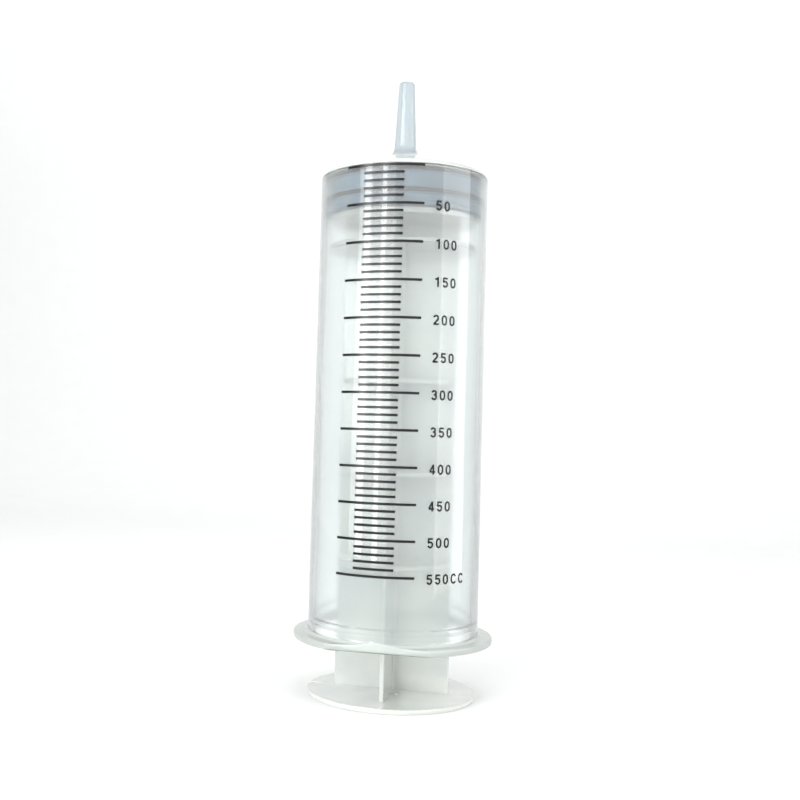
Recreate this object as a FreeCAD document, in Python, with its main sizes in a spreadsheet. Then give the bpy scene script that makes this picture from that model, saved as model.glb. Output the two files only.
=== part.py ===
"""Large catheter-tip syringe, 550 cc, standing on its thumb disc with the nozzle up.

The origin is the middle of the thumb disc's underside and +Z points out of the nozzle.
The flats of the finger flange face -Y and +Y, and the cross ribs of the rod lie along X and Y.
All sizes are in millimetres.
"""
import FreeCAD, Part
import os

import Sketcher

# Driving dimensions
# Each size of the real syringe has one cell in the sheet. Heights and radii that follow from
# them are written further down as expressions of these cells.

SIZES = [
    # barrel: a tube with a conical shoulder, a nozzle and a finger flange, moulded in one
    ("bore_dia", 66.0),
    ("wall_at_shoulder", 1.8),
    ("wall_at_flange", 2.2),
    ("tube_length", 192.4),
    ("shoulder_angle", 17.0),
    ("shoulder_wall", 2.2),
    ("shoulder_round", 2.5),
    ("bore_corner_round", 1.0),
    ("nozzle_length", 31.6),
    ("nozzle_root_dia", 9.5),
    ("nozzle_tip_dia", 6.7),
    ("nozzle_bore_dia", 3.8),
    ("nozzle_root_round", 3.6),
    ("nozzle_tip_round", 1.35),
    ("flange_overhang", 6.0),
    ("flange_thickness", 2.8),
    ("flange_rim_round", 0.9),
    ("flange_root_round", 1.8),
    ("flat_margin", 0.2),
    ("mouth_lead", 0.9),
    ("stop_bead_height", 0.6),
    ("stop_bead_width", 3.2),
    ("stop_bead_place", 7.7),
    # piston seal: a rubber cup with two sealing ridges, snapped over the head of the rod
    ("seal_clearance", 0.25),
    ("seal_front_gap", 0.3),
    ("seal_nose_dia", 8.0),
    ("seal_length", 15.4),
    ("seal_ridge_width", 1.6),
    ("seal_ridge_height", 1.2),
    ("seal_ridge_pitch", 8.6),
    ("seal_skirt_width", 1.0),
    ("seal_front_depth", 5.0),
    ("seal_side_wall", 5.75),
    ("seal_lip_depth", 5.0),
    ("seal_lip_height", 3.6),
    # plunger rod: cross ribs between a thumb disc and the head, moulded in one
    ("thumb_disc_dia", 69.4),
    ("thumb_disc_thickness", 2.2),
    ("thumb_rim_step", 0.5),
    ("thumb_rim_round", 0.4),
    ("finger_gap", 21.1),
    ("rib_span", 47.8),
    ("rib_thickness", 1.8),
    ("rib_root_round", 1.2),
    ("rib_edge_round", 0.5),
    ("web_thickness", 2.0),
    ("web_inset", 0.3),
    ("disc_edge_break", 0.35),
    ("first_web_place", 51.2),
    ("web_pitch", 37.4),
    ("web_count", 3.0),
    ("guide_disc_play", 2.5),
    ("guide_disc_drop", 14.3),
    ("head_clearance", 0.3),
    ("head_disc_thickness", 3.0),
    ("head_back_thickness", 2.5),
    ("gate_mark_dia", 2.4),
    ("gate_mark_height", 0.5),
    ("gate_mark_side", 3.4),
    ("gate_mark_front", 8.6),
    ("parting_line_width", 0.3),
    ("parting_line_height", 0.15),
]

doc = FreeCAD.newDocument("syringe")
dims = doc.addObject("Spreadsheet::Sheet", "Dims")
for row, (alias, size) in enumerate(SIZES, start=1):
    dims.set(f"A{row}", alias)
    dims.set(f"B{row}", str(size))
    dims.setAlias(f"B{row}", alias)
doc.recompute()

# Heights and radii that follow from the sheet

BORE_R = "(Dims.bore_dia / 2)"
TOP_WALL_R = f"({BORE_R} + Dims.wall_at_shoulder)"
BASE_WALL_R = f"({BORE_R} + Dims.wall_at_flange)"
FLANGE_R = f"({BASE_WALL_R} + Dims.flange_overhang)"
FLAT_AT = f"({BASE_WALL_R} + Dims.flat_margin)"
NOZZLE_BORE_R = "(Dims.nozzle_bore_dia / 2)"
NOZZLE_ROOT_R = "(Dims.nozzle_root_dia / 2)"
NOZZLE_TIP_R = "(Dims.nozzle_tip_dia / 2)"
SLOPE = "tan(Dims.shoulder_angle * 1 deg)"

FLANGE_Z = "(Dims.thumb_disc_thickness + Dims.finger_gap)"
FLANGE_TOP_Z = f"({FLANGE_Z} + Dims.flange_thickness)"
SHOULDER_Z = f"({FLANGE_Z} + Dims.tube_length)"
NOZZLE_ROOT_Z = f"({SHOULDER_Z} + ({TOP_WALL_R} - {NOZZLE_ROOT_R}) * {SLOPE})"
NOZZLE_TIP_Z = f"({NOZZLE_ROOT_Z} + Dims.nozzle_length)"
BORE_END_Z = (
    f"({SHOULDER_Z} + Dims.wall_at_shoulder * {SLOPE}"
    " - Dims.shoulder_wall / cos(Dims.shoulder_angle * 1 deg))"
)
NOZZLE_BORE_Z = f"({BORE_END_Z} + ({BORE_R} - {NOZZLE_BORE_R}) * {SLOPE})"
BEAD_Z = f"({FLANGE_Z} + Dims.stop_bead_place)"

SEAL_R = f"({BORE_R} - Dims.seal_clearance)"
SEAL_NECK_R = f"({SEAL_R} - Dims.seal_ridge_height)"
SEAL_NOSE_R = "(Dims.seal_nose_dia / 2)"
SEAL_FRONT_Z = f"({BORE_END_Z} - Dims.seal_front_gap)"
SEAL_NOSE_Z = f"({SEAL_FRONT_Z} + ({SEAL_R} - {SEAL_NOSE_R}) * {SLOPE})"
SEAL_REAR_Z = f"({SEAL_FRONT_Z} - Dims.seal_length)"
SECOND_RIDGE_Z = f"({SEAL_FRONT_Z} - Dims.seal_ridge_pitch)"
CAVITY_R = f"({SEAL_R} - Dims.seal_side_wall)"
CAVITY_ROOF_Z = f"({SEAL_FRONT_Z} - Dims.seal_front_depth)"
LIP_R = f"({CAVITY_R} - Dims.seal_lip_depth)"
LIP_Z = f"({SEAL_REAR_Z} + Dims.seal_lip_height)"

THUMB_R = "(Dims.thumb_disc_dia / 2)"
RIB_REACH = "(Dims.rib_span / 2)"
GUIDE_R = f"({BORE_R} - Dims.guide_disc_play)"
GUIDE_Z = f"({SEAL_REAR_Z} - Dims.guide_disc_drop)"
HEAD_BACK_Z = f"({SEAL_REAR_Z} - Dims.head_clearance - Dims.head_back_thickness)"
HEAD_DISC_Z = f"({LIP_Z} + Dims.head_clearance)"
HEAD_DISC_R = f"({CAVITY_R} - Dims.head_clearance)"
HEAD_TOP_Z = f"({CAVITY_ROOF_Z} - Dims.head_clearance)"
NECK_SPAN = f"(2 * ({LIP_R} - Dims.head_clearance))"
WEB_R = f"({RIB_REACH} - Dims.web_inset)"
FIRST_WEB_Z = "(Dims.thumb_disc_thickness + Dims.first_web_place)"


def value(expression):
    """The number that an expression of the sheet's cells comes to."""
    result = dims.evalExpression(expression)
    return float(getattr(result, "Value", result))


# Helpers for sketches and features


def origin_part(body, role):
    """One of the body's own origin planes or axes."""
    for feature in body.Origin.OriginFeatures:
        if feature.Role == role:
            return feature
    raise RuntimeError(f"{body.Label} has no {role}")


def new_sketch(body, name, plane, height=None):
    """A sketch on an origin plane, lifted to a height when one is given."""
    sketch = body.newObject("Sketcher::SketchObject", name)
    sketch.AttachmentSupport = [(origin_part(body, plane), "")]
    sketch.MapMode = "FlatFace"
    if height is not None:
        sketch.setExpression("AttachmentOffset.Base.z", height)
    return sketch


def place_corner(sketch, line, name, axis, size):
    """Tie one coordinate of a line's start to an expression."""
    amount = value(size)
    across = -2 if axis == "X" else -1
    if amount == 0:
        sketch.addConstraint(Sketcher.Constraint("PointOnObject", line, 1, across))
        return
    index = sketch.addConstraint(Sketcher.Constraint(f"Distance{axis}", -1, 1, line, 1, amount))
    sketch.renameConstraint(index, f"{name}_{axis}")
    sketch.setExpression(f"Constraints.{name}_{axis}", size)


def half_section(body, name, corners):
    """A closed outline in the XZ plane: each corner is a name, a radius and a height."""
    sketch = new_sketch(body, name, "XZ_Plane")
    points = [FreeCAD.Vector(value(radius), value(height), 0) for _, radius, height in corners]
    count = len(points)
    for i in range(count):
        sketch.addGeometry(Part.LineSegment(points[i], points[(i + 1) % count]), False)
    for i in range(count):
        sketch.addConstraint(Sketcher.Constraint("Coincident", i, 2, (i + 1) % count, 1))
    for line, (corner, radius, height) in enumerate(corners):
        place_corner(sketch, line, corner, "X", radius)
        place_corner(sketch, line, corner, "Y", height)
    return sketch


def centred_rectangle(sketch, name, width, depth):
    """A rectangle about the sketch's origin."""
    half_w, half_d = value(width) / 2, value(depth) / 2
    points = [(-half_w, -half_d), (half_w, -half_d), (half_w, half_d), (-half_w, half_d)]
    first = sketch.GeometryCount
    for i in range(4):
        start = FreeCAD.Vector(*points[i], 0)
        end = FreeCAD.Vector(*points[(i + 1) % 4], 0)
        sketch.addGeometry(Part.LineSegment(start, end), False)
    for i in range(4):
        line, following = first + i, first + (i + 1) % 4
        direction = "Horizontal" if i % 2 == 0 else "Vertical"
        sketch.addConstraint(Sketcher.Constraint("Coincident", line, 2, following, 1))
        sketch.addConstraint(Sketcher.Constraint(direction, line))
    sketch.addConstraint(Sketcher.Constraint("Symmetric", first, 1, first + 2, 1, -1, 1))
    for axis, line, size in (("X", first, width), ("Y", first + 1, depth)):
        index = sketch.addConstraint(
            Sketcher.Constraint(f"Distance{axis}", line, 1, line, 2, value(size))
        )
        sketch.renameConstraint(index, f"{name}_{axis}")
        sketch.setExpression(f"Constraints.{name}_{axis}", size)


def revolve(body, name, sketch):
    """Turn a half section a full turn about Z."""
    feature = body.newObject("PartDesign::Revolution", name)
    feature.Profile = sketch
    feature.ReferenceAxis = (sketch, ["V_Axis"])
    feature.Angle = 360
    doc.recompute()
    return feature


def pad(body, name, sketch, thickness):
    """Thicken a sketch upwards."""
    feature = body.newObject("PartDesign::Pad", name)
    feature.Profile = sketch
    feature.setExpression("Length", thickness)
    doc.recompute()
    return feature


def disc(body, name, radius, thickness, height):
    """A flat disc about Z with broken edges, whose lower face is at the given height."""
    top = f"{height} + {thickness}"
    inner = f"{radius} - Dims.disc_edge_break"
    sketch = half_section(body, f"{name}Section", [
        ("middle_low", "0", height),
        ("low", inner, height),
        ("rim_low", radius, f"{height} + Dims.disc_edge_break"),
        ("rim_high", radius, f"{top} - Dims.disc_edge_break"),
        ("high", inner, top),
        ("middle_high", "0", top),
    ])
    return revolve(body, name, sketch)


def ring_edges(shape, radius, height):
    """Names of the circular edges about Z at one radius and height."""
    found = []
    for number, edge in enumerate(shape.Edges, start=1):
        if not isinstance(edge.Curve, Part.Circle):
            continue
        same_radius = abs(edge.Curve.Radius - radius) < 0.01
        same_height = abs(edge.Curve.Center.z - height) < 0.01
        if same_radius and same_height:
            found.append(f"Edge{number}")
    return found


def upright_edges(shape, across, along):
    """Names of the straight edges along Z that stand at (+-across, +-along)."""
    found = []
    for number, edge in enumerate(shape.Edges, start=1):
        first, last = edge.Vertexes[0].Point, edge.Vertexes[-1].Point
        if abs(first.z - last.z) < 0.01 or (first - last).cross(FreeCAD.Vector(0, 0, 1)).Length > 0.01:
            continue
        if abs(abs(first.x) - across) < 0.01 and abs(abs(first.y) - along) < 0.01:
            found.append(f"Edge{number}")
    return found


def round_off(body, name, base, edges, radius):
    """Fillet named edges of the feature before."""
    if not edges:
        raise RuntimeError(f"{name} found no edge to round")
    feature = body.newObject("PartDesign::Fillet", name)
    feature.Base = (base, edges)
    feature.setExpression("Radius", radius)
    doc.recompute()
    return feature


def round_rings(body, name, base, rings, radius):
    """Fillet the circular edges at several radii and heights."""
    edges = []
    for ring_radius, height in rings:
        edges += ring_edges(base.Shape, value(ring_radius), value(height))
    return round_off(body, name, base, edges, radius)


# Barrel
# A slightly tapered tube with a parallel bore. The shoulder is a low cone of even wall, the
# nozzle tapers towards its tip, and a bead inside the mouth stops the seal from coming out.


def make_barrel():
    body = doc.addObject("PartDesign::Body", "Barrel")
    body.Label = "barrel"
    half_bead = "(Dims.stop_bead_width / 2)"
    crest = "(Dims.stop_bead_width / 6)"
    bead_r = f"({BORE_R} - Dims.stop_bead_height)"
    sketch = half_section(body, "BarrelSection", [
        ("mouth", f"{BORE_R} + Dims.mouth_lead", FLANGE_Z),
        ("rim_low", FLANGE_R, FLANGE_Z),
        ("rim_high", FLANGE_R, FLANGE_TOP_Z),
        ("wall_foot", BASE_WALL_R, FLANGE_TOP_Z),
        ("shoulder", TOP_WALL_R, SHOULDER_Z),
        ("nozzle_root", NOZZLE_ROOT_R, NOZZLE_ROOT_Z),
        ("nozzle_tip", NOZZLE_TIP_R, NOZZLE_TIP_Z),
        ("tip_bore", NOZZLE_BORE_R, NOZZLE_TIP_Z),
        ("root_bore", NOZZLE_BORE_R, NOZZLE_BORE_Z),
        ("bore_end", BORE_R, BORE_END_Z),
        ("bead_top", BORE_R, f"{BEAD_Z} + {half_bead}"),
        ("crest_top", bead_r, f"{BEAD_Z} + {crest}"),
        ("crest_low", bead_r, f"{BEAD_Z} - {crest}"),
        ("bead_low", BORE_R, f"{BEAD_Z} - {half_bead}"),
        ("lead_end", BORE_R, f"{FLANGE_Z} + Dims.mouth_lead"),
    ])
    tube = revolve(body, "Tube", sketch)
    shoulder = round_rings(body, "ShoulderRound", tube, [(TOP_WALL_R, SHOULDER_Z)], "Dims.shoulder_round")
    corner = round_rings(body, "BoreCorner", shoulder, [(BORE_R, BORE_END_Z)], "Dims.bore_corner_round")
    root = round_rings(body, "NozzleRoot", corner, [(NOZZLE_ROOT_R, NOZZLE_ROOT_Z)], "Dims.nozzle_root_round")
    tip = round_rings(body, "NozzleTip", root, [(NOZZLE_TIP_R, NOZZLE_TIP_Z)], "Dims.nozzle_tip_round")
    foot = round_rings(body, "WallFoot", tip, [(BASE_WALL_R, FLANGE_TOP_Z)], "Dims.flange_root_round")
    rims = [(FLANGE_R, FLANGE_Z), (FLANGE_R, FLANGE_TOP_Z)]
    rim = round_rings(body, "FlangeRim", foot, rims, "Dims.flange_rim_round")

    # two flats leave the middle of the round flange standing
    cut_sketch = new_sketch(body, "FlatsSketch", "XY_Plane")
    centred_rectangle(cut_sketch, "kept", f"2.4 * {FLANGE_R}", f"2 * {FLAT_AT}")
    centred_rectangle(cut_sketch, "cleared", f"2.6 * {FLANGE_R}", f"2.4 * {FLANGE_R}")
    flats = body.newObject("PartDesign::Pocket", "Flats")
    flats.Profile = cut_sketch
    flats.Reversed = True
    flats.setExpression("Length", f"{FLANGE_TOP_Z} + Dims.flange_root_round")
    doc.recompute()
    if flats.Shape.Volume >= rim.Shape.Volume:
        raise RuntimeError("the flats cut nothing from the flange")
    return body


# Piston seal
# A rubber cup. Its cone follows the inside of the shoulder, two ridges and a thin skirt edge
# ride in the bore, and a lip behind the cavity holds it on the head of the rod.


def make_seal():
    body = doc.addObject("PartDesign::Body", "PistonSeal")
    body.Label = "piston_seal"
    ramp = "(Dims.seal_ridge_height * 0.7)"
    skirt_z = f"({SEAL_REAR_Z} + Dims.seal_skirt_width)"
    sketch = half_section(body, "SealSection", [
        ("nose_middle", "0", SEAL_NOSE_Z),
        ("nose_edge", SEAL_NOSE_R, SEAL_NOSE_Z),
        ("front_edge", SEAL_R, SEAL_FRONT_Z),
        ("front_low", SEAL_R, f"{SEAL_FRONT_Z} - Dims.seal_ridge_width"),
        ("groove_top", SEAL_NECK_R, f"{SEAL_FRONT_Z} - Dims.seal_ridge_width - {ramp}"),
        ("groove_low", SEAL_NECK_R, f"{SECOND_RIDGE_Z} + {ramp}"),
        ("ridge_top", SEAL_R, SECOND_RIDGE_Z),
        ("ridge_low", SEAL_R, f"{SECOND_RIDGE_Z} - Dims.seal_ridge_width"),
        ("waist_top", SEAL_NECK_R, f"{SECOND_RIDGE_Z} - Dims.seal_ridge_width - {ramp}"),
        ("waist_low", SEAL_NECK_R, f"{skirt_z} + {ramp}"),
        ("skirt_top", f"{SEAL_R} - Dims.seal_ridge_height * 0.2", skirt_z),
        ("skirt_low", f"{SEAL_R} - Dims.seal_ridge_height * 0.2", SEAL_REAR_Z),
        ("lip_low", LIP_R, SEAL_REAR_Z),
        ("lip_top", LIP_R, LIP_Z),
        ("cavity_low", CAVITY_R, LIP_Z),
        ("cavity_top", CAVITY_R, CAVITY_ROOF_Z),
        ("roof_middle", "0", CAVITY_ROOF_Z),
    ])
    revolve(body, "Cup", sketch)
    return body


# Plunger rod
# Four ribs in a cross, stiffened by round webs, between the thumb disc and the head. A wider
# disc below the head guides the rod in the bore.


def make_rod():
    body = doc.addObject("PartDesign::Body", "PlungerRod")
    body.Label = "plunger_rod"

    # thumb disc, with a rim that steps in towards its underside
    half_thickness = "(Dims.thumb_disc_thickness / 2)"
    step_r = f"({THUMB_R} - Dims.thumb_rim_step)"
    sketch = half_section(body, "ThumbSection", [
        ("middle", "0", "0"),
        ("foot", step_r, "0"),
        ("step_in", step_r, half_thickness),
        ("step_out", THUMB_R, half_thickness),
        ("rim", THUMB_R, "Dims.thumb_disc_thickness"),
        ("middle_top", "0", "Dims.thumb_disc_thickness"),
    ])
    thumb = revolve(body, "ThumbDisc", sketch)
    rims = [(THUMB_R, "Dims.thumb_disc_thickness"), (step_r, "0")]
    round_rings(body, "ThumbRim", thumb, rims, "Dims.thumb_rim_round")

    # cross ribs from the thumb disc to the back of the head, and a narrower cross in the head
    rib_length = f"{HEAD_BACK_Z} - Dims.thumb_disc_thickness"
    ribs = add_cross(body, "Rib", RIB_REACH, rib_length, "Dims.thumb_disc_thickness")
    half_rib, reach = value("Dims.rib_thickness / 2"), value(RIB_REACH)
    corners = upright_edges(ribs.Shape, half_rib, half_rib)
    root = round_off(body, "RibRoot", ribs, corners, "Dims.rib_root_round")
    edges = upright_edges(root.Shape, reach, half_rib) + upright_edges(root.Shape, half_rib, reach)
    round_off(body, "RibEdge", root, edges, "Dims.rib_edge_round")
    disc(body, "HeadBack", GUIDE_R, "Dims.head_back_thickness", HEAD_BACK_Z)
    neck_foot = f"({HEAD_BACK_Z} + Dims.head_back_thickness)"
    add_cross(body, "Neck", f"{NECK_SPAN} / 2", f"{HEAD_TOP_Z} - {neck_foot}", neck_foot)
    disc(body, "HeadDisc", HEAD_DISC_R, "Dims.head_disc_thickness", HEAD_DISC_Z)

    # guide disc and webs
    disc(body, "GuideDisc", GUIDE_R, "Dims.web_thickness", GUIDE_Z)
    web = disc(body, "Web", WEB_R, "Dims.web_thickness", FIRST_WEB_Z)
    webs = body.newObject("PartDesign::LinearPattern", "Webs")
    webs.Originals = [web]
    webs.Direction = (origin_part(body, "Z_Axis"), [""])
    webs.setExpression("Length", "Dims.web_pitch * (Dims.web_count - 1)")
    webs.setExpression("Occurrences", "Dims.web_count")
    body.Tip = webs
    doc.recompute()

    # round nub where the mould's gate was cut off
    gate = new_sketch(body, "GateSketch", "XY_Plane", "Dims.thumb_disc_thickness")
    centre = FreeCAD.Vector(value("Dims.gate_mark_side"), -value("Dims.gate_mark_front"), 0)
    radius = value("Dims.gate_mark_dia / 2")
    gate.addGeometry(Part.Circle(centre, FreeCAD.Vector(0, 0, 1), radius), False)
    for name, constraint, size in (
        ("side", ("DistanceX", -1, 1, 0, 3), "Dims.gate_mark_side"),
        ("front", ("DistanceY", 0, 3, -1, 1), "Dims.gate_mark_front"),
        ("radius", ("Radius", 0), "Dims.gate_mark_dia / 2"),
    ):
        index = gate.addConstraint(Sketcher.Constraint(*constraint, value(size)))
        gate.renameConstraint(index, name)
        gate.setExpression(f"Constraints.{name}", size)
    pad(body, "GateMark", gate, "Dims.gate_mark_height")

    # fine line across the disc where the halves of its mould meet
    line = new_sketch(body, "PartingSketch", "XY_Plane", "Dims.thumb_disc_thickness")
    centred_rectangle(line, "line", f"2 * ({THUMB_R} - Dims.thumb_rim_round)", "Dims.parting_line_width")
    body.Tip = pad(body, "PartingLine", line, "Dims.parting_line_height")
    return body


def add_cross(body, name, reach, length, height):
    """Two crossing ribs that stand on one height."""
    across = new_sketch(body, f"{name}AcrossSketch", "XY_Plane", height)
    centred_rectangle(across, "rib", f"2 * {reach}", "Dims.rib_thickness")
    pad(body, f"{name}Across", across, length)
    along = new_sketch(body, f"{name}AlongSketch", "XY_Plane", height)
    centred_rectangle(along, "rib", "Dims.rib_thickness", f"2 * {reach}")
    return pad(body, f"{name}Along", along, length)


def check_and_export(pieces):
    """Refuse a failed feature or a bad shape, then write one file for each piece."""
    doc.recompute()
    failed = [item.Label for item in doc.Objects if {"Invalid", "Error"} & set(item.State)]
    if failed:
        raise RuntimeError(f"failed objects: {failed}")
    for piece in pieces:
        if piece.Shape.isNull() or not piece.Shape.isValid():
            raise RuntimeError(f"{piece.Label} has no valid shape")
    os.makedirs("parts", exist_ok=True)
    for piece in pieces:
        piece.Shape.exportStep(f"parts/{piece.Label}.step")
        box = piece.Shape.optimalBoundingBox()
        print(
            f"{piece.Label}: {len(piece.Shape.Solids)} solids, {piece.Shape.Volume:.1f} mm3,"
            f" x {box.XMin:.2f} to {box.XMax:.2f}, y {box.YMin:.2f} to {box.YMax:.2f},"
            f" z {box.ZMin:.2f} to {box.ZMax:.2f}"
        )


check_and_export([make_barrel(), make_seal(), make_rod()])
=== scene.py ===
# %% [markdown]
# # A large plastic syringe
#
# The object is a 550 cc syringe with a slim nozzle. It stands on its thumb disc. The frame holds
# its three real pieces: a barrel, a rubber seal and a ribbed rod. This lesson gives them smooth
# visible meshes, the finish of natural polypropylene and rubber, and the printed scale.
# Sizes are written in millimetres, as on a drawing, and the scene itself is in metres.

# %% Load the frame
import math

import bmesh
import bpy
from mathutils import Matrix, Vector


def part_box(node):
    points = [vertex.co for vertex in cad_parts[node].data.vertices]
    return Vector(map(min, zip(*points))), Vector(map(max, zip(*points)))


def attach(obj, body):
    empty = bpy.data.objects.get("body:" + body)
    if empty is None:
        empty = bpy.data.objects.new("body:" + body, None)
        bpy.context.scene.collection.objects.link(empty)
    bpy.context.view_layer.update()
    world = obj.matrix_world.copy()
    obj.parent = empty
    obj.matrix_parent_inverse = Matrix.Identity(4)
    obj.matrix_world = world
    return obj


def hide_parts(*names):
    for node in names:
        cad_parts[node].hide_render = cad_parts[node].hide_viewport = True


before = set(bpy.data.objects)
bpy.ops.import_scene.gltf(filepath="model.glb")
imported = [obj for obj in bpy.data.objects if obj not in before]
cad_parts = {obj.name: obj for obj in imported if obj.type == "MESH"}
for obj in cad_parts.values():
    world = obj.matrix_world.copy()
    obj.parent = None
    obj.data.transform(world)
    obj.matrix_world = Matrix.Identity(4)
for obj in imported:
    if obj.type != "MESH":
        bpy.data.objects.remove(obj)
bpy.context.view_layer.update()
MM = 0.001
scene = bpy.context.scene

BARREL_LOW, BARREL_HIGH = (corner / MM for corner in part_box("barrel"))
SEAL_LOW, SEAL_HIGH = (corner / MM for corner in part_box("piston_seal"))
print(f"barrel from {BARREL_LOW.z:.1f} to {BARREL_HIGH.z:.1f} mm, seal from {SEAL_LOW.z:.1f} mm")

# %% [markdown]
# ## Camera
#
# The photograph was taken from about half a metre away, level with the middle of the barrel. The
# values below come from fitting a camera to the scale, the flange and the silhouette. A small
# shift of the lens stands for the way the picture was cropped.

# %% Camera
PICTURE = 800
SENSOR_MM = 36
FOCAL_PIXELS = 1081.6
CENTRE_PIXEL = (309.1, 400.0)
CAMERA_DISTANCE = 455 * MM
CAMERA_HEIGHT = 110 * MM
CAMERA_TURN = math.radians(8.8)
CAMERA_YAW = -0.0824
CAMERA_PITCH = 0.0249
CAMERA_ROLL = 0.0298


def add_camera():
    """The camera of the photograph, turned a little about the object and rolled a little."""
    heading = CAMERA_TURN - CAMERA_YAW
    forward = Vector((-math.sin(heading), math.cos(heading), math.tan(CAMERA_PITCH))).normalized()
    level = Vector((math.cos(heading), math.sin(heading), 0))
    up = level.cross(forward)
    right = math.cos(CAMERA_ROLL) * level + math.sin(CAMERA_ROLL) * up
    tilted_up = math.cos(CAMERA_ROLL) * up - math.sin(CAMERA_ROLL) * level
    data = bpy.data.cameras.new("camera")
    data.sensor_width = SENSOR_MM
    data.lens = FOCAL_PIXELS / PICTURE * SENSOR_MM
    data.shift_x = (PICTURE / 2 - CENTRE_PIXEL[0]) / PICTURE
    data.shift_y = (CENTRE_PIXEL[1] - PICTURE / 2) / PICTURE
    camera = bpy.data.objects.new("camera", data)
    turn = Matrix((right, tilted_up, -forward)).transposed().to_4x4()
    side, back = math.sin(CAMERA_TURN), math.cos(CAMERA_TURN)
    place = (side * CAMERA_DISTANCE, -back * CAMERA_DISTANCE, CAMERA_HEIGHT)
    camera.matrix_world = Matrix.Translation(place) @ turn
    scene.collection.objects.link(camera)
    scene.camera = camera
    return camera


camera = add_camera()
print(f"camera lens {camera.data.lens:.1f} mm")

# %% [markdown]
# ## Colours and shader nodes
#
# Colours are written as the sRGB hex values that a designer reads off a picture. A shader needs
# linear values, so one function turns the first into the second. A second small function adds a
# shader node with its settings and links. The rest are the few groups of nodes that most of the
# finishes share: a random pattern, two tints, a bump and a range of roughness.

# %% Colour and node helpers


def colour(hex_code):
    """Turn an sRGB hex value into a linear colour with full alpha."""
    channels = [int(hex_code[i : i + 2], 16) / 255 for i in (1, 3, 5)]
    linear = [c / 12.92 if c <= 0.04045 else ((c + 0.055) / 1.055) ** 2.4 for c in channels]
    return (*linear, 1.0)


def add_node(tree, kind, settings=None, inputs=None, links=None):
    """Add a shader node, set its properties and sockets, and link sockets to other nodes' outputs."""
    node = tree.nodes.new(kind)
    for name, setting in (settings or {}).items():
        setattr(node, name, setting)
    for name, setting in (inputs or {}).items():
        node.inputs[name].default_value = setting
    for name, output in (links or {}).items():
        tree.links.new(output, node.inputs[name])
    return node


def new_material(name):
    """A new material, with an empty set of nodes to fill."""
    material = bpy.data.materials.new(name)
    material.use_nodes = True
    material.node_tree.nodes.clear()
    return material, material.node_tree


def finish_material(tree, shader):
    """Link the last shader to the material's surface."""
    add_node(tree, "ShaderNodeOutputMaterial", links={"Surface": shader.outputs[0]})


def add_noise(tree, place, scale, detail=2.0):
    """A soft random pattern. Its spots are about as large as one metre divided by the scale."""
    return add_node(
        tree, "ShaderNodeTexNoise", inputs={"Scale": scale, "Detail": detail}, links={"Vector": place}
    )


def add_two_tints(tree, pattern, low_tint, high_tint, low_at=0.0, high_at=1.0):
    """A colour that goes from one tint to the other as a pattern rises between two values."""
    tints = add_node(tree, "ShaderNodeValToRGB", links={"Fac": pattern.outputs["Fac"]})
    low, high = tints.color_ramp.elements
    low.position, high.position = low_at, high_at
    low.color, high.color = colour(low_tint), colour(high_tint)
    return tints


def add_bump(tree, pattern, strength, distance):
    """Shallow dents that follow a pattern and are at most as deep as the distance."""
    return add_node(
        tree,
        "ShaderNodeBump",
        inputs={"Strength": strength, "Distance": distance},
        links={"Height": pattern.outputs["Fac"]},
    )


def add_roughness(tree, pattern, low, high):
    """A roughness that follows a pattern from a low to a high value."""
    return add_node(
        tree,
        "ShaderNodeMapRange",
        inputs={"To Min": low, "To Max": high},
        links={"Value": pattern.outputs["Fac"]},
    )


def add_radius(tree, place):
    """The distance from the object's upright axis, for a finish that changes towards an edge."""
    across = add_node(
        tree,
        "ShaderNodeVectorMath",
        settings={"operation": "MULTIPLY"},
        inputs={1: (1.0, 1.0, 0.0)},
        links={0: place.outputs["Object"]},
    )
    return add_node(
        tree, "ShaderNodeVectorMath", settings={"operation": "LENGTH"}, links={0: across.outputs["Vector"]}
    )


# %% [markdown]
# ## Clear polypropylene
#
# The barrel is clarified polypropylene, injection moulded against polished steel, so both its
# surfaces are glossy. The plastic between them is slightly cloudy: what touches the bore stays
# sharp, and what stands back from it blurs. Scattering inside a thin wall is slow to compute. The
# same look comes from a smooth outside and a bore whose roughness bends the light that passes. The
# flange, shoulder and nozzle are thicker than the tube, so they are milkier. The nozzle and flange
# are a little greyer than the shoulder. Long weak waves from the mould bend the reflections.

# %% Clear polypropylene
POLYPROPYLENE_IOR = 1.49
# sink waves run along the tube: about 12 mm across and 120 mm long
SINK_WAVES_PER_METRE = (80, 80, 8)


def clear_polypropylene(name, tint, roughness, clearness, edge_glow=0.0):
    """One finish of the barrel: its tint, range of roughness and the share of light that passes."""
    material, tree = new_material(name)
    place = add_node(tree, "ShaderNodeTexCoord")
    stretch = add_node(
        tree,
        "ShaderNodeMapping",
        inputs={"Scale": SINK_WAVES_PER_METRE},
        links={"Vector": place.outputs["Object"]},
    )
    waves = add_noise(tree, stretch.outputs[0], scale=1.0)
    bump = add_bump(tree, waves, strength=0.25, distance=0.6 * MM)
    haze = add_roughness(tree, waves, *roughness)
    shader = add_node(
        tree,
        "ShaderNodeBsdfPrincipled",
        inputs={
            "Base Color": colour(tint),
            "IOR": POLYPROPYLENE_IOR,
            "Transmission Weight": clearness,
            "Sheen Weight": edge_glow,
            "Sheen Roughness": 0.3,
        },
        links={"Roughness": haze.outputs[0], "Normal": bump.outputs[0]},
    )
    finish_material(tree, shader)
    return material


# %% [markdown]
# ## Natural polypropylene
#
# The rod is the same plastic without a clarifier, so it is milky: light goes in, scatters and
# comes out again. A broad glossy coat and a little transmission give that, with a soft mottling
# where the melt cooled unevenly. Thin ribs and discs lead the light inside them to their edges; a
# second, paler colour there is a painted highlight for that glow.

# %% Natural polypropylene


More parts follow.
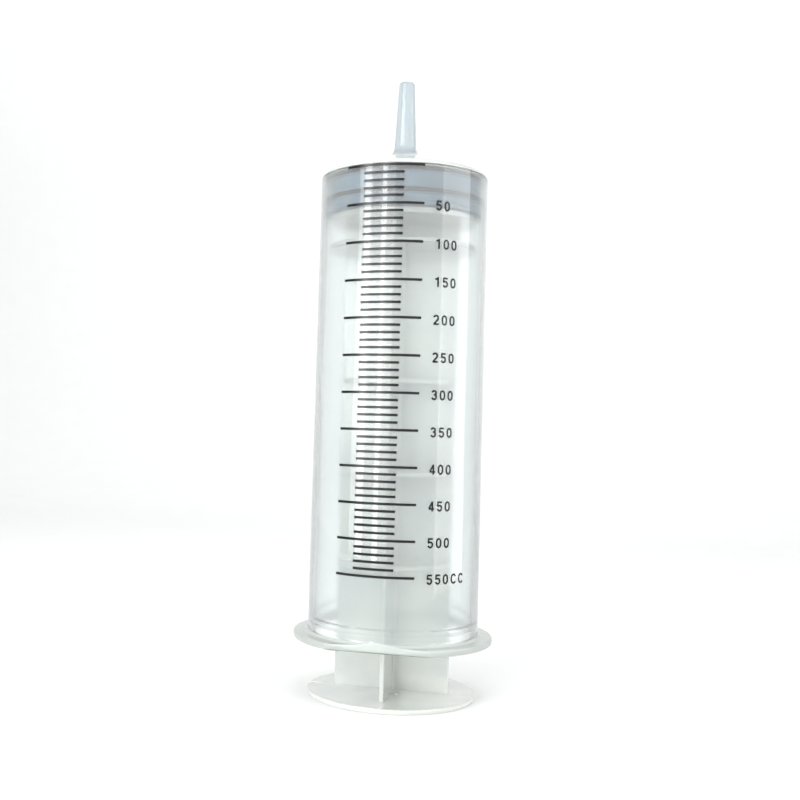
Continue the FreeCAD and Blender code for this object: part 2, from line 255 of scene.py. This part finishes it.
def natural_polypropylene(name, low_tint, high_tint):
    """The rod's finish, mottled between two tints."""
    material, tree = new_material(name)
    place = add_node(tree, "ShaderNodeTexCoord")
    # flow marks from the gate are about 17 mm long
    mottling = add_noise(tree, place.outputs["Object"], scale=60.0, detail=3.0)
    tint = add_two_tints(tree, mottling, low_tint, high_tint, low_at=0.35, high_at=0.65)
    bump = add_bump(tree, mottling, strength=0.2, distance=0.3 * MM)
    shader = add_node(
        tree,
        "ShaderNodeBsdfPrincipled",
        inputs={
            "Roughness": 0.25,
            "IOR": POLYPROPYLENE_IOR,
            "Transmission Weight": 0.4,
            "Coat Weight": 1.0,
            "Coat Roughness": 0.06,
            "Coat IOR": 1.5,
        },
        links={"Base Color": tint.outputs[0], "Normal": bump.outputs[0]},
    )
    finish_material(tree, shader)
    return material


# %% [markdown]
# ## Seal rubber
#
# The seal is a light bluish grey rubber, moulded and wiped with silicone oil. It is satin, with a
# faint powdery grain, drawn a little coarser than the real one so that it shows. Where a ridge
# presses on the bore, the colour is painted near black: painted shade for the dark band that the
# contact shows through the wall. The colour follows the distance from the axis for that.

# %% Seal rubber
SEAL_R = SEAL_HIGH.x
RIDGE_HEIGHT = 1.2
# depths below the seal's radius where the painted contact shade begins and where it is full
CONTACT_SHADE_START_DEPTH = 0.22
CONTACT_SHADE_FULL_DEPTH = 0.12


def seal_rubber():
    """Grey rubber with painted shade, near black, where it touches the bore."""
    material, tree = new_material("seal_rubber")
    place = add_node(tree, "ShaderNodeTexCoord")
    # grains of about 0.4 mm
    grain = add_noise(tree, place.outputs["Object"], scale=2500.0)
    tint = add_two_tints(tree, grain, "#5C7080", "#697D8C")
    radius = add_radius(tree, place)
    # painted shade: the colour turns near black where a ridge touches the bore
    painted_contact_shade = add_node(
        tree,
        "ShaderNodeMapRange",
        inputs={"From Min": (SEAL_R - CONTACT_SHADE_START_DEPTH) * MM, "From Max": (SEAL_R - CONTACT_SHADE_FULL_DEPTH) * MM},
        links={"Value": radius.outputs["Value"]},
    )
    contact_shaded_tint = add_node(
        tree,
        "ShaderNodeMix",
        settings={"data_type": "RGBA"},
        inputs={"B": colour("#04101A")},
        links={"Factor": painted_contact_shade.outputs[0], "A": tint.outputs[0]},
    )
    bump = add_bump(tree, grain, strength=0.15, distance=0.05 * MM)
    shader = add_node(
        tree,
        "ShaderNodeBsdfPrincipled",
        inputs={"Roughness": 0.45, "IOR": 1.43, "Sheen Weight": 0.1},
        links={"Base Color": contact_shaded_tint.outputs["Result"], "Normal": bump.outputs[0]},
    )
    finish_material(tree, shader)
    return material


# %% [markdown]
# ## Printing ink
#
# The scale is pad printed in black epoxy ink, drawn here a twentieth of a millimetre thick. It is
# glossy, so a light that mirrors in the barrel turns the marks grey there. The film is a little
# uneven, which shows as slight changes of its gloss.

# %% Printing ink


def printing_ink():
    """Glossy black ink."""
    material, tree = new_material("printing_ink")
    place = add_node(tree, "ShaderNodeTexCoord")
    # the film is thicker and thinner over about 1 mm
    film = add_noise(tree, place.outputs["Object"], scale=900.0)
    tint = add_two_tints(tree, film, "#050507", "#0D0D10")
    gloss = add_roughness(tree, film, 0.12, 0.25)
    shader = add_node(
        tree,
        "ShaderNodeBsdfPrincipled",
        inputs={"IOR": 1.38},
        links={"Base Color": tint.outputs[0], "Roughness": gloss.outputs[0]},
    )
    finish_material(tree, shader)
    return material


CLEAR_PLASTIC = clear_polypropylene("clear_polypropylene", "#F6F9F9", (0.04, 0.08), 0.92)
CLOUDY_BORE = clear_polypropylene("clear_polypropylene_bore", "#F6FAFB", (0.18, 0.25), 0.95)
FLANGE_PLASTIC = clear_polypropylene("clear_polypropylene_flange", "#C6CCC8", (0.12, 0.18), 0.45)
SHOULDER_PLASTIC = clear_polypropylene("clear_polypropylene_shoulder", "#E8EBE8", (0.06, 0.12), 0.45)
NOZZLE_PLASTIC = clear_polypropylene("clear_polypropylene_nozzle", "#BDC7CC", (0.1, 0.16), 0.6, edge_glow=0.9)
MILKY_PLASTIC = natural_polypropylene("natural_polypropylene", "#D9DEDC", "#E6E9E2")
# near-white colour for edge-on faces: a painted highlight for the light that ribs and discs lead to their
# edges
MILKY_PAINTED_HIGHLIGHT = natural_polypropylene("natural_polypropylene_painted_highlight", "#F6F8F3", "#FCFCF6")
RUBBER = seal_rubber()
INK = printing_ink()
print("materials:", [m.name for m in bpy.data.materials])

# %% [markdown]
# ## Turned shapes
#
# The barrel and the seal are round, so each starts as half of its section: a list of corners, each
# with a radius, a height and how much it is rounded. One function puts an arc at each rounded
# corner, and another turns the outline about the axis. A modelling program's lathe does the same.

# %% Outline and lathe
ARC_STEPS = 6
TURN_STEPS = 240
SMOOTH_ANGLE = math.radians(32)
ON_AXIS = 1e-6


def rounded(corners, closed=True):
    """Points of an outline in which each corner (radius, height, rounding) becomes an arc."""
    points = []
    count = len(corners)
    for i, (r, z, rounding) in enumerate(corners):
        here = Vector((r, z))
        ends = not closed and i in (0, count - 1)
        if rounding == 0 or ends:
            points.append(here)
            continue
        back = (Vector(corners[i - 1][:2]) - here).normalized()
        ahead = (Vector(corners[(i + 1) % count][:2]) - here).normalized()
        half = back.angle(ahead) / 2
        centre = here + (back + ahead).normalized() * rounding / math.sin(half)
        start = here + back * rounding / math.tan(half) - centre
        sweep = start.angle_signed(here + ahead * rounding / math.tan(half) - centre)
        for step in range(ARC_STEPS + 1):
            spoke = start.copy()
            spoke.rotate(Matrix.Rotation(-sweep * step / ARC_STEPS, 2))
            points.append(centre + spoke)
    return points


def round_section(r, z, angle):
    """A point of a fully round shape."""
    return r * math.cos(angle), r * math.sin(angle), z


def face_outwards(form):
    """Turn every face outwards. Glass needs it: the shader tells going in from coming out by it."""
    bmesh.ops.recalc_face_normals(form, faces=form.faces)
    if form.calc_volume(signed=True) < 0:
        bmesh.ops.reverse_faces(form, faces=form.faces)


def turn(name, outline, material, section=round_section, closed=True):
    """Turn an outline about Z. A closed outline makes a ring, an open one ends on the axis."""
    mesh = bpy.data.meshes.new(name)
    form = bmesh.new()
    rings = []
    for point in outline:
        if point.x < ON_AXIS:
            rings.append([form.verts.new((0, 0, point.y * MM))])
            continue
        ring = []
        for step in range(TURN_STEPS):
            x, y, z = section(point.x, point.y, 2 * math.pi * step / TURN_STEPS)
            ring.append(form.verts.new((x * MM, y * MM, z * MM)))
        rings.append(ring)
    followers = rings[1:] + rings[:1] if closed else rings[1:]
    for low, high in zip(rings, followers):
        for step in range(TURN_STEPS):
            following = (step + 1) % TURN_STEPS
            if len(low) == 1:
                corners = (low[0], high[following], high[step])
            elif len(high) == 1:
                corners = (low[step], low[following], high[0])
            else:
                corners = (low[step], low[following], high[following], high[step])
            form.faces.new(corners)
    face_outwards(form)
    form.to_mesh(mesh)
    form.free()
    return make_piece(name, mesh, material)


def make_piece(name, mesh, material):
    """Link a mesh to the scene with one material and smooth shading up to a crease angle."""
    mesh.materials.clear()
    mesh.materials.append(material)
    mesh.shade_smooth()
    mesh.set_sharp_from_angle(angle=SMOOTH_ANGLE)
    piece = bpy.data.objects.new(name, mesh)
    scene.collection.objects.link(piece)
    return piece


# %% [markdown]
# ## Barrel
#
# The barrel is one moulding: a slightly tapered tube with a parallel bore, a low conical shoulder,
# a slim nozzle and a finger flange. The flange is a disc with two flats that come close to the
# wall. Turning alone can't make a flat, so while the outline is turned, each point beyond a flat is
# drawn back to it.

# %% Barrel sizes
BORE_R = 33.0
TOP_WALL_R = 34.8
BASE_WALL_R = 35.2
FLANGE_R = BARREL_HIGH.x
FLAT_AT = BARREL_HIGH.y
FLANGE_Z = BARREL_LOW.z
FLANGE_TOP_Z = FLANGE_Z + 2.8
SHOULDER_Z = FLANGE_Z + 192.4
SHOULDER_ANGLE = math.radians(17)
SLOPE = math.tan(SHOULDER_ANGLE)
SHOULDER_WALL = 2.2 / math.cos(SHOULDER_ANGLE)
NOZZLE_ROOT_R = 4.75
NOZZLE_TIP_R = 3.35
NOZZLE_BORE_R = 1.9
NOZZLE_ROOT_Z = SHOULDER_Z + (TOP_WALL_R - NOZZLE_ROOT_R) * SLOPE
NOZZLE_TIP_Z = BARREL_HIGH.z
BORE_END_Z = SHOULDER_Z + (TOP_WALL_R - BORE_R) * SLOPE - SHOULDER_WALL
NOZZLE_BORE_Z = BORE_END_Z + (BORE_R - NOZZLE_BORE_R) * SLOPE
BEAD_Z = FLANGE_Z + 7.7
BEAD_HEIGHT = 0.6
BEAD_HALF = 1.6
MOUTH_LEAD = 0.9
WALL_FOOT_ROUND = 1.8
RIM_ROUND = 0.9
SHOULDER_ROUND = 2.5
NOZZLE_ROOT_ROUND = 6.0
NOZZLE_TIP_ROUND = 1.35
NOZZLE_BORE_ROUND = 0.6
BORE_END_ROUND = 1.0
BEAD_FOOT_ROUND = 1.0
BEAD_TOP_ROUND = 0.4
MOUTH_ROUND = 0.3
EDGE_ROUND = 0.2
NOZZLE_FOOT = 0.8
BORE_FACING = -0.05
TOLERANCE = 0.01


def barrel_outline():
    """The wall's section, up the outside and down the bore."""
    return rounded([
        (BORE_R + MOUTH_LEAD, FLANGE_Z, EDGE_ROUND),
        (FLANGE_R, FLANGE_Z, RIM_ROUND),
        (FLANGE_R, FLANGE_TOP_Z, RIM_ROUND),
        (BASE_WALL_R, FLANGE_TOP_Z, WALL_FOOT_ROUND),
        (TOP_WALL_R, SHOULDER_Z, SHOULDER_ROUND),
        (NOZZLE_ROOT_R, NOZZLE_ROOT_Z, NOZZLE_ROOT_ROUND),
        (NOZZLE_TIP_R, NOZZLE_TIP_Z, NOZZLE_TIP_ROUND),
        (NOZZLE_BORE_R, NOZZLE_TIP_Z, EDGE_ROUND),
        (NOZZLE_BORE_R, NOZZLE_BORE_Z, NOZZLE_BORE_ROUND),
        (BORE_R, BORE_END_Z, BORE_END_ROUND),
        (BORE_R, BEAD_Z + BEAD_HALF, BEAD_FOOT_ROUND),
        (BORE_R - BEAD_HEIGHT, BEAD_Z + BEAD_HALF / 3, BEAD_TOP_ROUND),
        (BORE_R - BEAD_HEIGHT, BEAD_Z - BEAD_HALF / 3, BEAD_TOP_ROUND),
        (BORE_R, BEAD_Z - BEAD_HALF, BEAD_FOOT_ROUND),
        (BORE_R, FLANGE_Z + MOUTH_LEAD, MOUTH_ROUND),
    ])


def flanged_section(r, z, angle):
    """A point of the barrel, drawn back to the flats where the flange passes them."""
    facing = abs(math.sin(angle))
    limit = FLAT_AT / facing if facing * FLANGE_R > FLAT_AT else FLANGE_R
    on_flange = z < FLANGE_TOP_Z + WALL_FOOT_ROUND and r > BASE_WALL_R - TOLERANCE
    if on_flange and r > FLANGE_R - RIM_ROUND and z < FLANGE_TOP_Z + TOLERANCE:
        foot = BASE_WALL_R + WALL_FOOT_ROUND
        room = 1.0
        if z > (FLANGE_Z + FLANGE_TOP_Z) / 2:
            room = min(max((limit - foot) / RIM_ROUND, 0.0), 1.0)
        r = limit - (FLANGE_R - r) * room
    elif on_flange:
        r = min(r, limit)
    return round_section(r, z, angle)


def facing_out(face):
    """How far a face looks away from the axis: 1 for straight out, -1 for straight in."""
    return face.center.xy.normalized().dot(face.normal.xy)


def finish_barrel(piece):
    """Give the faces towards the axis the bore's finish, and the thick ends a cloudier one."""
    finishes = [CLEAR_PLASTIC, CLOUDY_BORE, FLANGE_PLASTIC, SHOULDER_PLASTIC, NOZZLE_PLASTIC]
    for finish in finishes[1:]:
        piece.data.materials.append(finish)
    for face in piece.data.polygons:
        height = face.center.z / MM
        finish = CLEAR_PLASTIC
        if facing_out(face) < BORE_FACING:
            finish = CLOUDY_BORE
        elif height < FLANGE_TOP_Z + WALL_FOOT_ROUND / 2:
            finish = FLANGE_PLASTIC
        elif height > NOZZLE_ROOT_Z - NOZZLE_FOOT:
            finish = NOZZLE_PLASTIC
        elif height > SHOULDER_Z - SHOULDER_ROUND / 2:
            finish = SHOULDER_PLASTIC
        face.material_index = finishes.index(finish)


barrel = turn("clear_barrel", barrel_outline(), CLEAR_PLASTIC, flanged_section)
finish_barrel(barrel)
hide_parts("barrel")
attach(barrel, "barrel_body")
print(f"barrel mesh has {len(barrel.data.polygons)} faces")

# %% [markdown]
# ## Piston seal
#
# The seal is a rubber cup with a conical front. Two ridges press on the bore, and the edge of the
# skirt stands just clear of it. The ridges show as darker bands through the cloudy wall: their
# colour holds painted shade where they touch the bore, and only what touches the wall stays sharp.

# %% Piston seal
SEAL_NECK_R = SEAL_R - RIDGE_HEIGHT
SEAL_NOSE_R = 4.0
SEAL_FRONT_Z = SEAL_LOW.z + 15.4
SEAL_NOSE_Z = SEAL_FRONT_Z + (SEAL_R - SEAL_NOSE_R) * SLOPE
RIDGE_WIDTH = 1.6
RIDGE_RAMP = RIDGE_HEIGHT * 0.7
SECOND_RIDGE_Z = SEAL_FRONT_Z - 8.6
SKIRT_R = SEAL_R - RIDGE_HEIGHT * 0.2
SKIRT_Z = SEAL_LOW.z + 1.0
CAVITY_R = SEAL_R - 5.75
CAVITY_ROOF_Z = SEAL_FRONT_Z - 5.0
LIP_R = CAVITY_R - 5.0
LIP_Z = SEAL_LOW.z + 3.6
NOSE_ROUND = 0.8
RIDGE_ROUND = 0.4
GROOVE_ROUND = 0.5
LIP_MOUTH_ROUND = 0.5
LIP_ROUND = 0.3
CAVITY_ROUND = 1.0


def seal_outline():
    """The cup's section, from the nose down the outside and up through the cavity."""
    return rounded([
        (0, SEAL_NOSE_Z, 0),
        (SEAL_NOSE_R, SEAL_NOSE_Z, NOSE_ROUND),
        (SEAL_R, SEAL_FRONT_Z, EDGE_ROUND),
        (SEAL_R, SEAL_FRONT_Z - RIDGE_WIDTH, RIDGE_ROUND),
        (SEAL_NECK_R, SEAL_FRONT_Z - RIDGE_WIDTH - RIDGE_RAMP, GROOVE_ROUND),
        (SEAL_NECK_R, SECOND_RIDGE_Z + RIDGE_RAMP, GROOVE_ROUND),
        (SEAL_R, SECOND_RIDGE_Z, RIDGE_ROUND),
        (SEAL_R, SECOND_RIDGE_Z - RIDGE_WIDTH, RIDGE_ROUND),
        (SEAL_NECK_R, SECOND_RIDGE_Z - RIDGE_WIDTH - RIDGE_RAMP, GROOVE_ROUND),
        (SEAL_NECK_R, SKIRT_Z + RIDGE_RAMP, GROOVE_ROUND),
        (SKIRT_R, SKIRT_Z, EDGE_ROUND),
        (SKIRT_R, SEAL_LOW.z, EDGE_ROUND),
        (LIP_R, SEAL_LOW.z, LIP_MOUTH_ROUND),
        (LIP_R, LIP_Z, LIP_ROUND),
        (CAVITY_R, LIP_Z, LIP_ROUND),
        (CAVITY_R, CAVITY_ROOF_Z, CAVITY_ROUND),
        (0, CAVITY_ROOF_Z, 0),
    ], closed=False)


seal = turn("rubber_seal", seal_outline(), RUBBER, closed=False)
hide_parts("piston_seal")
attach(seal, "seal_body")
print(f"seal mesh has {len(seal.data.polygons)} faces")

# %% [markdown]
# ## Plunger rod
#
# The rod is all flat ribs and discs, and the frame's own solid already has its true edges. It
# keeps that mesh and only gets smooth shading on its round faces and two milky finishes. The paler
# one is a painted highlight on what shows edge on: the outer faces of the ribs, the webs and the
# thumb disc, below the guide disc.

# %% Plunger rod
GUIDE_DISC_Z = 180
HIGHLIGHT_EDGE_MIN_R = SEAL_R * 0.8
HIGHLIGHT_EDGE_FACING = 0.95
PAINTED_HIGHLIGHT_SLOT = 1


def finish_rod(mesh):
    """Give the rod's mesh its finish, a painted highlight on its edge-on faces and smooth shading, and leave
    its shape as it is.
    """
    mesh.materials.clear()
    mesh.materials.append(MILKY_PLASTIC)
    mesh.materials.append(MILKY_PAINTED_HIGHLIGHT)
    for face in mesh.polygons:
        radius, height = face.center.xy.length / MM, face.center.z / MM
        # outer faces that look straight out get the painted highlight colour
        if facing_out(face) > HIGHLIGHT_EDGE_FACING and radius > HIGHLIGHT_EDGE_MIN_R and height < GUIDE_DISC_Z:
            face.material_index = PAINTED_HIGHLIGHT_SLOT
    mesh.shade_smooth()
    mesh.set_sharp_from_angle(angle=SMOOTH_ANGLE)


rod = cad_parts["plunger_rod"]
finish_rod(rod.data)
print(f"rod mesh has {len(rod.data.polygons)} faces")

# %% [markdown]
# ## Printed scale
#
# A pad prints the scale on the curved wall in one go. Each mark is a thin bar that follows the
# wall, one for each 10 cc, and a longer one for each 50 cc with its number to the right. Their
# mean spacing is the travel that sweeps 10 cc in a bore of this size, and the spaces get a little
# narrower from the first to the last. A bar is a stroke of ink: a flat tube with its underside
# just inside the wall.

# %% Scale marks
SCALE_TOP_Z = SEAL_FRONT_Z - 0.1
CC_PER_MARK = 10
SCALE_STEP = CC_PER_MARK * 1000 / (math.pi * BORE_R**2)
SPACING_FALL = 0.039
SCALE_MARKS = 56
MARKS_PER_NUMBER = 5
MARK_WIDTH = 1.0
# both ends of a mark, in radians from the middle of the barrel's front
LONG_MARK = (-0.546, 0.383)
SHORT_MARK = (-0.318, 0.150)
INK_THICKNESS = 0.05
INK_UNDERSIDE = -0.01
MARK_STEPS = 28


def mark_height(mark):
    """Height of a mark. The first spaces are wider than the mean and the last ones narrower."""
    mean_share = 1 + SPACING_FALL * (1 - mark / (SCALE_MARKS - 1))
    return SCALE_TOP_Z - mark * SCALE_STEP * mean_share


def wall_radius(z):
    """Radius of the barrel's tapered outside at a height."""
    along = (z - FLANGE_TOP_Z) / (SHOULDER_Z - FLANGE_TOP_Z)
    return BASE_WALL_R + (TOP_WALL_R - BASE_WALL_R) * along


def on_wall(angle, z, lift):
    """A point on the barrel, at an angle from the middle of its front, lifted off the wall."""
    r = wall_radius(z) + lift
    return Vector((r * math.sin(angle), -r * math.cos(angle), z)) * MM


def add_stroke(form, points, width, closed=False):
    """One stroke of ink through points (angle, height): a flat tube that lies on the wall."""
    count = len(points)
    rings = []
    for i, (angle, z) in enumerate(points):
        before = points[i - 1] if closed or i > 0 else points[i]
        after = points[(i + 1) % count] if closed or i < count - 1 else points[i]
        ahead = Vector(((after[0] - before[0]) * wall_radius(z), after[1] - before[1])).normalized()
        side = Vector((-ahead.y / wall_radius(z), ahead.x)) * width / 2
        left = (angle + side.x, z + side.y)
        right = (angle - side.x, z - side.y)
        section = [on_wall(*left, INK_UNDERSIDE), on_wall(*right, INK_UNDERSIDE)]
        section += [on_wall(*right, INK_THICKNESS), on_wall(*left, INK_THICKNESS)]
        rings.append([form.verts.new(corner) for corner in section])
    followers = rings[1:] + rings[:1] if closed else rings[1:]
    for ring, follower in zip(rings, followers):
        for corner in range(4):
            following = (corner + 1) % 4
            form.faces.new((ring[corner], ring[following], follower[following], follower[corner]))
    if not closed:
        form.faces.new(rings[0])
        form.faces.new(reversed(rings[-1]))


def make_print(name, form):
    """Turn strokes of ink into one piece that moves with the barrel."""
    face_outwards(form)
    mesh = bpy.data.meshes.new(name)
    form.to_mesh(mesh)
    form.free()
    piece = make_piece(name, mesh, INK)
    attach(piece, "barrel_body")
    return piece


def make_scale():
    """All the marks as one piece."""
    form = bmesh.new()
    for mark in range(SCALE_MARKS):
        start, end = LONG_MARK if mark % MARKS_PER_NUMBER == 0 else SHORT_MARK
        z = mark_height(mark)
        points = [(start + (end - start) * step / MARK_STEPS, z) for step in range(MARK_STEPS + 1)]
        add_stroke(form, points, MARK_WIDTH)
    return make_print("scale_marks", form)


make_scale()
print(f"{SCALE_MARKS} marks, {SCALE_STEP:.2f} mm apart")

# %% [markdown]
# ## Scale numbers
#
# The numbers are plain upright figures with one width of line. A figure is drawn as a sign writer
# would draw it: each stroke passes through a few points, here in millimetres from the figure's
# middle, and a smooth curve joins them.

# %% Scale numbers
STROKE_WIDTH = 0.74
FIGURE_PITCH = 3.62
LETTER_PITCH = 4.1
# the middle of the first figure, in radians from the middle of the front
FIRST_FIGURE = 0.5586
NUMBER_DROP = 0.5
CURVE_STEPS = 5
NOUGHT = [(0, 1.66), (0.62, 1.3), (0.88, 0.6), (0.88, -0.6), (0.62, -1.3)]
NOUGHT += [(-x, -z) for x, z in NOUGHT]
LETTER_C = [(1.02, 0.95), (0.66, 1.45), (0.05, 1.66), (-0.68, 1.36), (-1.08, 0.6)]
LETTER_C += [(x, -z) for x, z in reversed(LETTER_C)]
BOWL = [(0.87, -0.62), (0.62, -1.36), (0, -1.66), (-0.6, -1.42), (-0.9, -0.95)]
FIGURES = {
    "0": [NOUGHT],
    "1": [[(0.42, 1.95), (0.42, -1.95)], [(0.42, 1.6), (-0.05, 1.28), (-0.8, 1.05)]],
    "2": [
        [(-0.88, 0.95), (-0.55, 1.5), (0.05, 1.66), (0.66, 1.4), (0.85, 0.8), (0.62, 0.1), (-0.85, -1.6)],
        [(-1.1, -1.64), (1.15, -1.64)],
    ],
    "3": [
        [(-0.85, 1.0), (-0.5, 1.5), (0, 1.66), (0.6, 1.4), (0.78, 0.85), (0.5, 0.32), (-0.15, 0.14)],
        [(-0.15, 0.14), (0.52, 0.02), *BOWL],
    ],
    "4": [[(0.45, -1.95), (0.45, 1.95)], [(0.35, 1.7), (-0.95, -0.8)], [(-1.1, -0.9), (1.2, -0.9)]],
    "5": [
        [(-0.98, 1.64), (1.05, 1.64)],
        [(-0.72, 1.6), (-0.85, -0.02)],
        [(-0.85, -0.02), (-0.45, 0.3), (0.15, 0.34), (0.68, 0.02), *BOWL],
    ],
    "C": [LETTER_C],
}


def smooth_path(points, closed):
    """Points of a smooth curve through the given points (a Catmull-Rom curve)."""
    if len(points) == 2:
        return points
    count = len(points)
    path = []
    for i in range(count if closed else count - 1):
        ends = [points[i], points[(i + 1) % count]]
        before = points[i - 1] if closed or i > 0 else ends[0]
        after = points[(i + 2) % count] if closed or i < count - 2 else ends[1]
        p0, p1, p2, p3 = (Vector(p) for p in (before, *ends, after))
        for step in range(CURVE_STEPS):
            u = step / CURVE_STEPS
            bend = (p2 - p0) * u + (2 * p0 - 5 * p1 + 4 * p2 - p3) * u**2
            bend += (3 * p1 - p0 - 3 * p2 + p3) * u**3
            path.append(p1 + bend / 2)
    if not closed:
        path.append(Vector(points[-1]))
    return path


def add_figure(form, figure, middle, z):
    """One figure on the wall, with its middle at an angle and a height."""
    for stroke in FIGURES[figure]:
        closed = stroke is NOUGHT
        path = [(middle + x / wall_radius(z), z + y) for x, y in smooth_path(stroke, closed)]
        add_stroke(form, path, STROKE_WIDTH, closed)


def make_number(mark):
    """The number of one long mark, beside it on the wall."""
    form = bmesh.new()
    z = mark_height(mark) - NUMBER_DROP
    middle = FIRST_FIGURE
    text = str(mark * CC_PER_MARK)
    if mark == SCALE_MARKS - 1:
        text += "CC"
    for i, figure in enumerate(text):
        if i > 0:
            middle += (LETTER_PITCH if figure == "C" else FIGURE_PITCH) / wall_radius(z)
        add_figure(form, figure, middle, z)
    return make_print(f"scale_number_{mark * CC_PER_MARK}", form)


numbers = [make_number(mark) for mark in range(MARKS_PER_NUMBER, SCALE_MARKS, MARKS_PER_NUMBER)]
print(f"{len(numbers)} numbers")

# %% [markdown]
# ## Floor and light
#
# A pale sweep of paper is floor and backdrop in one, with no line between them. A glossy tube
# mirrors each upright light as a tall strip, so the lights are placed by their strips. A wide soft
# box and two narrow ones on the left give the pale band behind the marks, with two brighter lines
# in it. One on the right gives the bright strip past the numbers. Dimmer boxes in front and far to
# the left fill the shadows, one above lights the shoulder and flange, and one tilted back lights
# the paper behind. A weak even light comes from all round.

# %% Floor and backdrop
SWEEP_WIDTH = 3.0
SWEEP_FRONT = -1.2
SWEEP_BACK = 1.2
SWEEP_RADIUS = 0.5
SWEEP_TOP = 1.6
SWEEP_STEPS = 16


def paper():
    """Dull white paper, faintly clouded over about 25 mm."""
    material, tree = new_material("white_paper")
    place = add_node(tree, "ShaderNodeTexCoord")
    clouding = add_noise(tree, place.outputs["Object"], scale=40.0, detail=4.0)
    tint = add_two_tints(tree, clouding, "#E3E4E5", "#E7E7E7")
    shader = add_node(
        tree, "ShaderNodeBsdfPrincipled", inputs={"Roughness": 0.9}, links={"Base Color": tint.outputs[0]}
    )
    finish_material(tree, shader)
    return material


def make_sweep():
    """The sheet of paper: flat, then a bend, then upright."""
    profile = [(SWEEP_FRONT, 0.0)]
    for step in range(SWEEP_STEPS + 1):
        bend = math.pi / 2 * step / SWEEP_STEPS
        y = SWEEP_BACK - SWEEP_RADIUS + SWEEP_RADIUS * math.sin(bend)
        profile.append((y, SWEEP_RADIUS - SWEEP_RADIUS * math.cos(bend)))
    profile.append((SWEEP_BACK, SWEEP_TOP))
    form = bmesh.new()
    rows = []
    for y, z in profile:
        rows.append([form.verts.new((side * SWEEP_WIDTH / 2, y, z)) for side in (-1, 1)])
    for low, high in zip(rows, rows[1:]):
        form.faces.new((low[0], low[1], high[1], high[0]))
    mesh = bpy.data.meshes.new("paper_sweep")
    form.to_mesh(mesh)
    form.free()
    sweep = make_piece("paper_sweep", mesh, paper())


make_sweep()

# %% Lights
BOX_HEIGHT = 0.55


def add_light(name, size, strength, place, aim):
    """A flat light of a width and a depth in metres and a strength in watts."""
    data = bpy.data.lights.new(name, "AREA")
    data.shape = "RECTANGLE"
    data.size, data.size_y = size
    data.energy = strength
    light = bpy.data.objects.new(name, data)
    light.matrix_world = Matrix.Translation(place) @ aim
    scene.collection.objects.link(light)


def add_soft_box(name, turn_degrees, distance, width, strength, low):
    """An upright soft box at an angle from the camera's side of the object, aimed at the axis."""
    angle = CAMERA_TURN + math.radians(turn_degrees)
    place = Vector((math.sin(angle) * distance, -math.cos(angle) * distance, low + BOX_HEIGHT / 2))
    aim = Vector((place.x, place.y, 0)).to_track_quat("Z", "Y")
    add_light(name, (width, BOX_HEIGHT), strength, place, aim.to_matrix().to_4x4())


def add_hanging_light(name, size, strength, place, tilt_degrees=0.0):
    """A light that hangs above and shines down, or is tilted back towards the paper behind."""
    add_light(name, size, strength, place, Matrix.Rotation(math.radians(tilt_degrees), 4, "X"))


def add_world():
    """A weak even light from all round."""
    world = bpy.data.worlds.new("studio")
    world.use_nodes = True
    tree = world.node_tree
    tree.nodes.clear()
    sky = add_node(tree, "ShaderNodeBackground", inputs={"Color": colour("#FAFCFA"), "Strength": 0.74})
    add_node(tree, "ShaderNodeOutputWorld", links={"Surface": sky.outputs[0]})
    scene.world = world


add_soft_box("far_left_soft_box", -100, 0.5, 0.45, 0.25, low=0.06)
add_soft_box("left_soft_box", -37, 0.65, 0.6, 3.4, low=0.06)
add_soft_box("left_strip", -48, 0.62, 0.1, 1.3, low=0.06)
add_soft_box("middle_strip", -26, 0.62, 0.06, 0.9, low=0.06)
add_soft_box("front_soft_box", 22, 0.62, 0.86, 1.6, low=0.02)
add_soft_box("right_soft_box", 76, 0.5, 0.42, 1.9, low=0.03)
add_hanging_light("top_soft_box", (0.5, 0.5), 0.7, (0, 0.1, 0.8))
add_hanging_light("backdrop_light", (2.4, 0.3), 9.5, (0, 0.3, 1.2), tilt_degrees=65)
add_world()
scene.view_settings.view_transform = "Standard"
